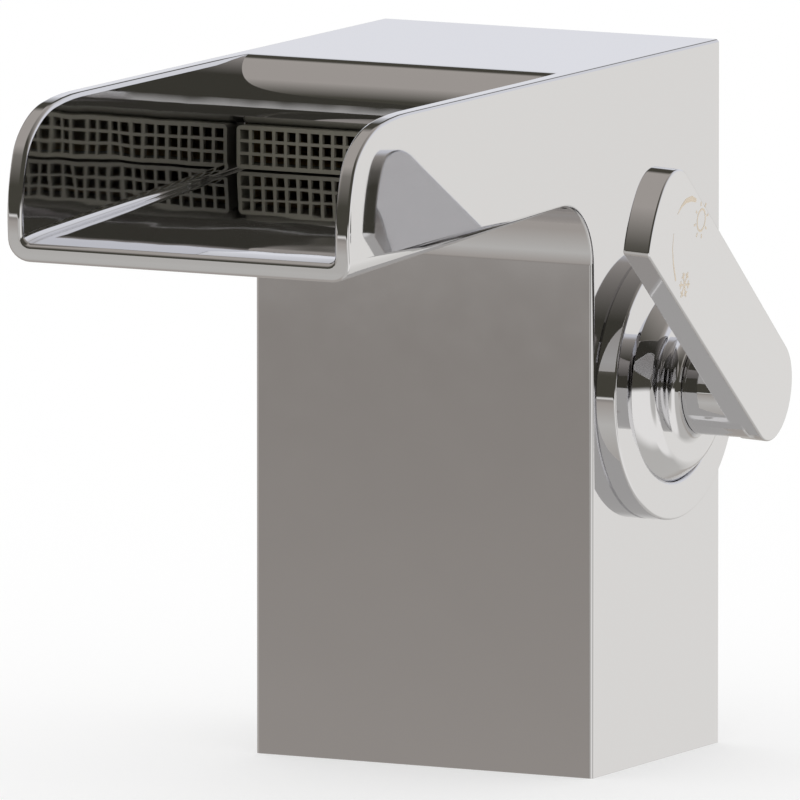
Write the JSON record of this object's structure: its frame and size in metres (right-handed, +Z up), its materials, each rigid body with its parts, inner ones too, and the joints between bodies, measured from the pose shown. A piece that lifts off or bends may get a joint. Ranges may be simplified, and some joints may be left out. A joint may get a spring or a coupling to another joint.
{
  "type": "basin faucet",
  "caption": "Square-column basin mixer with an open waterfall trough, perforated flow insert and a side lever that turns for temperature and lifts for flow.",
  "frame": {"origin": "middle of the base underside, on the deck", "axes": "+Z up, the trough points along -Y, the lever is on the +X side"},
  "size_m": [0.1017, 0.1487, 0.1316],
  "materials": {
    "chrome": "mirror polished",
    "grille": "satin grey",
    "rubber": "moulded",
    "brass": "as cast and machined",
    "steel": "plain stainless",
    "plug": "plated look",
    "cartridge": "moulded",
    "ceramic": "lapped ceramic"
  },
  "bodies": {
    "valve": {"body_casting": "chrome", "flow_grille": "grille", "grille_seal": "rubber", "valve_manifold": "brass", "riser_o_ring": "rubber", "base_gasket": "rubber", "base_screws": "steel", "trim_ring": "chrome", "retaining_nut": "brass", "cartridge_shell": "cartridge", "cartridge_base": "cartridge", "inlet_seals": "rubber", "disc_seals": "rubber", "fixed_disc": "ceramic"},
    "turn_fork": {"rotor_guide": "cartridge", "pivot_pin": "steel"},
    "lever": {"spindle": "brass", "dome_cap": "chrome", "handle_lever": "chrome", "grub_screw": "steel", "screw_plug": "plug"},
    "disc": {"moving_disc": "ceramic", "disc_carrier": "cartridge"}
  },
  "joints": [
    {"name": "temperature_turn", "type": "hinge", "parent": "valve", "child": "turn_fork", "pos_m": [0, 0, 0.0703], "axis": [1, 0, 0], "range_deg": [-40, 40]},
    {"name": "flow_lift", "type": "hinge", "parent": "turn_fork", "child": "lever", "pos_m": [0.0256, 0, 0.0703], "axis": [0, 0.5693, 0.8221], "range_deg": [0, 22]},
    {"name": "disc_slide", "type": "slide", "parent": "turn_fork", "child": "disc", "axis": [0, -0.8221, 0.5693], "range_m": [0, 0.0056]}
  ],
  "couplings": [
    {"joint": "disc_slide", "follows": "flow_lift", "m_per_rad": 0.014439}
  ]
}
